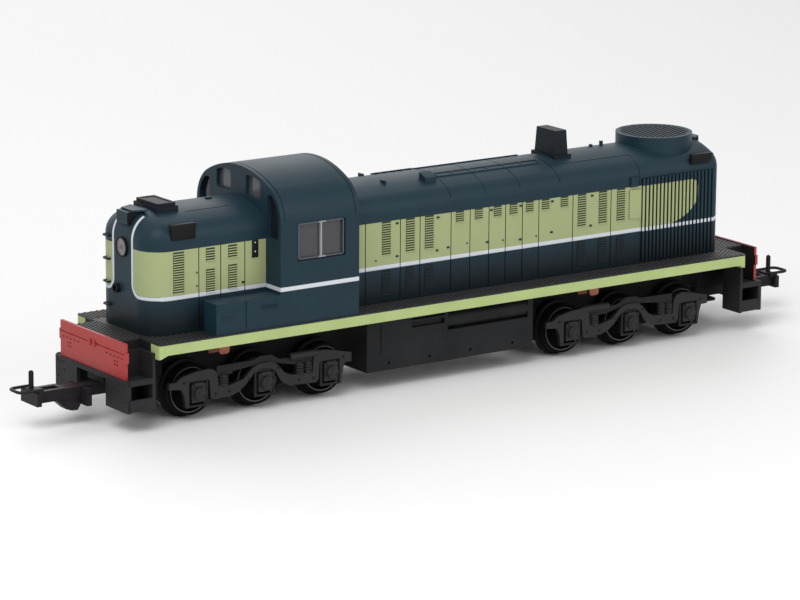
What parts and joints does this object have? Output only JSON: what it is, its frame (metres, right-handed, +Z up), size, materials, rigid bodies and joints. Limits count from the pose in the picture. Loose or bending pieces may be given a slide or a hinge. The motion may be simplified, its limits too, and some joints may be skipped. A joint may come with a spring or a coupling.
{
  "type": "model diesel locomotive",
  "caption": "Scale model of a hood diesel locomotive with a round-topped cab, swivelling trucks, rolling wheelsets and swinging hook couplers.",
  "frame": {"origin": "on the rails under the middle of the locomotive, at the lowest points of the wheel flanges", "axes": "+X along the track towards the long hood and its radiator, +Y to the left of that direction, +Z up"},
  "size_m": [0.211, 0.0344, 0.0518],
  "materials": {
    "ballast_metal": "cast",
    "band_paint": "satin",
    "body_paint": "satin",
    "chassis_black": "matte",
    "contact_metal": "satin",
    "coupler_black": "satin",
    "glass": "clear",
    "handrail_wire": "painted",
    "lens": "clear",
    "red_paint": "satin",
    "silver_trim": "satin",
    "tread_black": "matte",
    "truck_black": "matte",
    "wheel_metal": "blackened"
  },
  "bodies": {
    "locomotive_body": {"air_reservoirs": "chassis_black", "cab_end_glazing": "glass", "cab_roof": "body_paint", "cab_side_glazing": "glass", "cab_walls": "body_paint", "coupler_box_front": "chassis_black", "coupler_box_rear": "chassis_black", "deck": "chassis_black", "end_sheet_front": "red_paint", "end_sheet_rear": "red_paint", "equipment_boxes": "body_paint", "exhaust_stack": "body_paint", "fan_grille": "body_paint", "fan_shroud": "body_paint", "grab_irons_front": "handrail_wire", "grab_irons_rear": "handrail_wire", "headlight_bezels": "chassis_black", "headlight_lenses": "lens", "headlight_visors": "body_paint", "long_hood": "body_paint", "motor_and_ballast": "ballast_metal", "nose_sockets": "chassis_black", "nose_top_box": "body_paint", "number_boards": "body_paint", "pilot_front": "chassis_black", "pilot_rear": "chassis_black", "radiator_fins_left": "body_paint", "radiator_fins_right": "body_paint", "roof_strips": "body_paint", "short_hood": "body_paint", "sill_bands": "band_paint", "tank_skirt": "chassis_black", "walkway_treads": "tread_black", "window_frames": "silver_trim"},
    "truck_front": {"truck_front_contacts": "contact_metal", "truck_front_frame": "truck_black", "truck_front_sideframe_left": "truck_black", "truck_front_sideframe_right": "truck_black"},
    "coupler_front": {"coupler_front": "coupler_black"},
    "wheelset_front_1": {"truck_front_wheelset_1": "wheel_metal"},
    "wheelset_front_2": {"truck_front_wheelset_2": "wheel_metal"},
    "wheelset_front_3": {"truck_front_wheelset_3": "wheel_metal"},
    "truck_rear": {"truck_rear_contacts": "contact_metal", "truck_rear_frame": "truck_black", "truck_rear_sideframe_left": "truck_black", "truck_rear_sideframe_right": "truck_black"},
    "coupler_rear": {"coupler_rear": "coupler_black"},
    "wheelset_rear_1": {"truck_rear_wheelset_1": "wheel_metal"},
    "wheelset_rear_2": {"truck_rear_wheelset_2": "wheel_metal"},
    "wheelset_rear_3": {"truck_rear_wheelset_3": "wheel_metal"}
  },
  "joints": [
    {"name": "truck_front_swivel", "type": "hinge", "parent": "locomotive_body", "child": "truck_front", "pos_m": [-0.051, 0, 0.01715], "axis": [0, 0, 1], "range_deg": [-7, 7]},
    {"name": "coupler_front_swing", "type": "hinge", "parent": "locomotive_body", "child": "coupler_front", "pos_m": [-0.079, 0, 0.00735], "axis": [0, 0, 1], "range_deg": [-10, 10]},
    {"name": "wheelset_front_1_roll", "type": "hinge", "parent": "truck_front", "child": "wheelset_front_1", "pos_m": [-0.068, 0, 0.00645], "axis": [0, 1, 0], "continuous": true},
    {"name": "wheelset_front_2_roll", "type": "hinge", "parent": "truck_front", "child": "wheelset_front_2", "pos_m": [-0.051, 0, 0.00645], "axis": [0, 1, 0], "continuous": true},
    {"name": "wheelset_front_3_roll", "type": "hinge", "parent": "truck_front", "child": "wheelset_front_3", "pos_m": [-0.034, 0, 0.00645], "axis": [0, 1, 0], "continuous": true},
    {"name": "truck_rear_swivel", "type": "hinge", "parent": "locomotive_body", "child": "truck_rear", "pos_m": [0.049, 0, 0.01715], "axis": [0, 0, 1], "range_deg": [-7, 7]},
    {"name": "coupler_rear_swing", "type": "hinge", "parent": "locomotive_body", "child": "coupler_rear", "pos_m": [0.079, 0, 0.00735], "axis": [0, 0, 1], "range_deg": [-10, 10]},
    {"name": "wheelset_rear_1_roll", "type": "hinge", "parent": "truck_rear", "child": "wheelset_rear_1", "pos_m": [0.032, 0, 0.00645], "axis": [0, 1, 0], "continuous": true},
    {"name": "wheelset_rear_2_roll", "type": "hinge", "parent": "truck_rear", "child": "wheelset_rear_2", "pos_m": [0.049, 0, 0.00645], "axis": [0, 1, 0], "continuous": true},
    {"name": "wheelset_rear_3_roll", "type": "hinge", "parent": "truck_rear", "child": "wheelset_rear_3", "pos_m": [0.066, 0, 0.00645], "axis": [0, 1, 0], "continuous": true}
  ]
}
